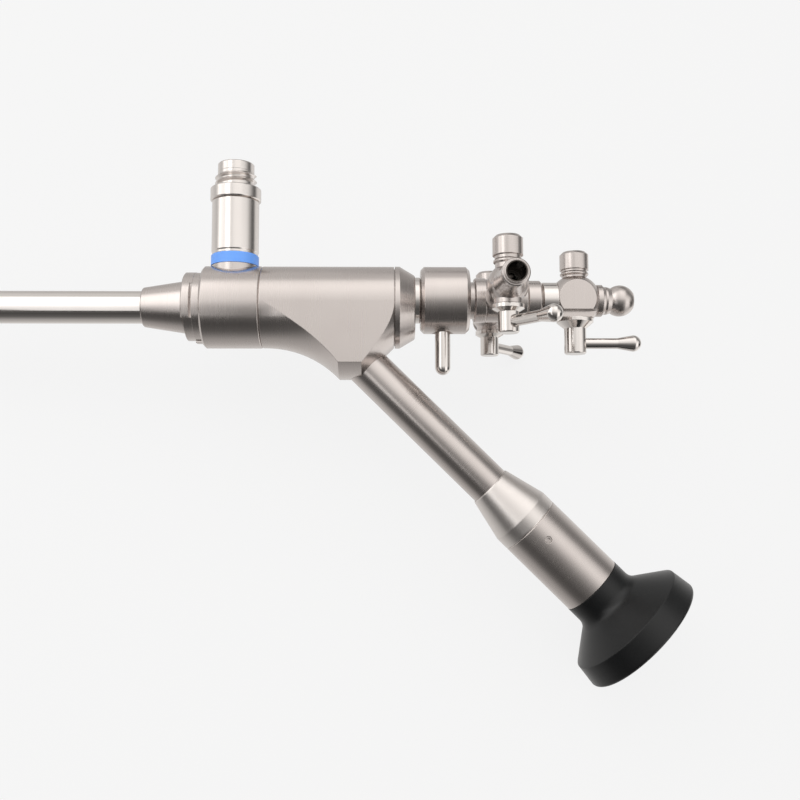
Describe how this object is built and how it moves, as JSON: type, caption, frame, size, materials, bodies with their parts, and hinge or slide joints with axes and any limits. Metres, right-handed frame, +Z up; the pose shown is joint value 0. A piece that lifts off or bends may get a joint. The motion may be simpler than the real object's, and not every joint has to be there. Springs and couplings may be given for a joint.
{
  "type": "nephroscope",
  "caption": "Rigid nephroscope with a long shaft, angled eyepiece, light post and a tap unit with water taps and an instrument port.",
  "frame": {"origin": "bottom centre of the bounding box, on the table that the instrument lies on", "axes": "+X towards the taps, with the shaft's tip at -X; +Y is the side of the light post; +Z up from the table, the instrument's left side"},
  "size_m": [0.351, 0.1238, 0.065],
  "materials": {
    "satin_steel": "satin",
    "polished_steel": "polished",
    "black_plastic": "matte",
    "blue_plastic": "gloss",
    "window_glass": "polished",
    "seal_rubber": "matte",
    "fibre_ends": "polished"
  },
  "bodies": {
    "instrument": {"sheath_tube": "polished_steel", "channel_tube": "polished_steel", "optic_tube": "satin_steel", "tip_window": "window_glass", "fibre_bundle": "fibre_ends", "nose_cone": "satin_steel", "lock_ring": "satin_steel", "front_housing": "satin_steel", "colour_ring": "blue_plastic", "post_sleeve": "satin_steel", "post_nut": "satin_steel", "post_adapter": "satin_steel", "post_cap": "polished_steel", "light_window": "window_glass", "post_fibres": "fibre_ends", "main_housing": "satin_steel", "prism": "window_glass", "rear_cap": "satin_steel", "rear_seal": "seal_rubber", "rear_socket": "satin_steel", "socket_gasket": "seal_rubber", "tap_manifold": "satin_steel", "left_tap_body": "satin_steel", "right_tap_body": "satin_steel", "axial_tap_body": "satin_steel", "left_water_port": "satin_steel", "right_water_port": "satin_steel", "coupling_sleeve": "satin_steel", "coupling_ring": "polished_steel", "tail_ring": "polished_steel", "ball_port": "polished_steel", "port_seal": "seal_rubber", "ocular_tube": "satin_steel", "ocular_cone": "satin_steel", "ocular_barrel": "satin_steel", "barrel_screw": "satin_steel", "ocular_lens": "window_glass", "eyecup": "black_plastic", "eyepiece_window": "window_glass", "window_ring": "satin_steel"},
    "collar": {"locking_collar": "satin_steel", "collar_pin": "polished_steel"},
    "left_key": {"left_tap_key": "polished_steel", "left_tap_lever": "polished_steel", "left_tap_cap": "satin_steel", "left_tap_spring": "satin_steel", "left_tap_washer": "satin_steel"},
    "right_key": {"right_tap_key": "polished_steel", "right_tap_lever": "polished_steel", "right_tap_cap": "satin_steel", "right_tap_spring": "satin_steel", "right_tap_washer": "satin_steel"},
    "axial_key": {"axial_tap_key": "polished_steel", "axial_tap_lever": "polished_steel", "axial_tap_cap": "satin_steel", "axial_tap_spring": "satin_steel", "axial_tap_washer": "satin_steel"}
  },
  "joints": [
    {"name": "collar_turn", "type": "hinge", "parent": "instrument", "child": "collar", "pos_m": [0.11561, 0.02808, 0.03127], "axis": [0.9957, 0, 0.0924], "range_deg": [-60, 0]},
    {"name": "left_tap_turn", "type": "hinge", "parent": "instrument", "child": "left_key", "pos_m": [0.12745, 0.02351, 0.05089], "axis": [-0.0222, 0.9706, 0.2395], "range_deg": [-35, 55]},
    {"name": "right_tap_turn", "type": "hinge", "parent": "instrument", "child": "right_key", "pos_m": [0.13086, 0.03265, 0.01416], "axis": [-0.0222, 0.9706, 0.2395], "range_deg": [-52, 38]},
    {"name": "axial_tap_turn", "type": "hinge", "parent": "instrument", "child": "axial_key", "pos_m": [0.14788, 0.02808, 0.03426], "axis": [-0.0222, 0.9706, 0.2395], "range_deg": [-90, 0]}
  ]
}
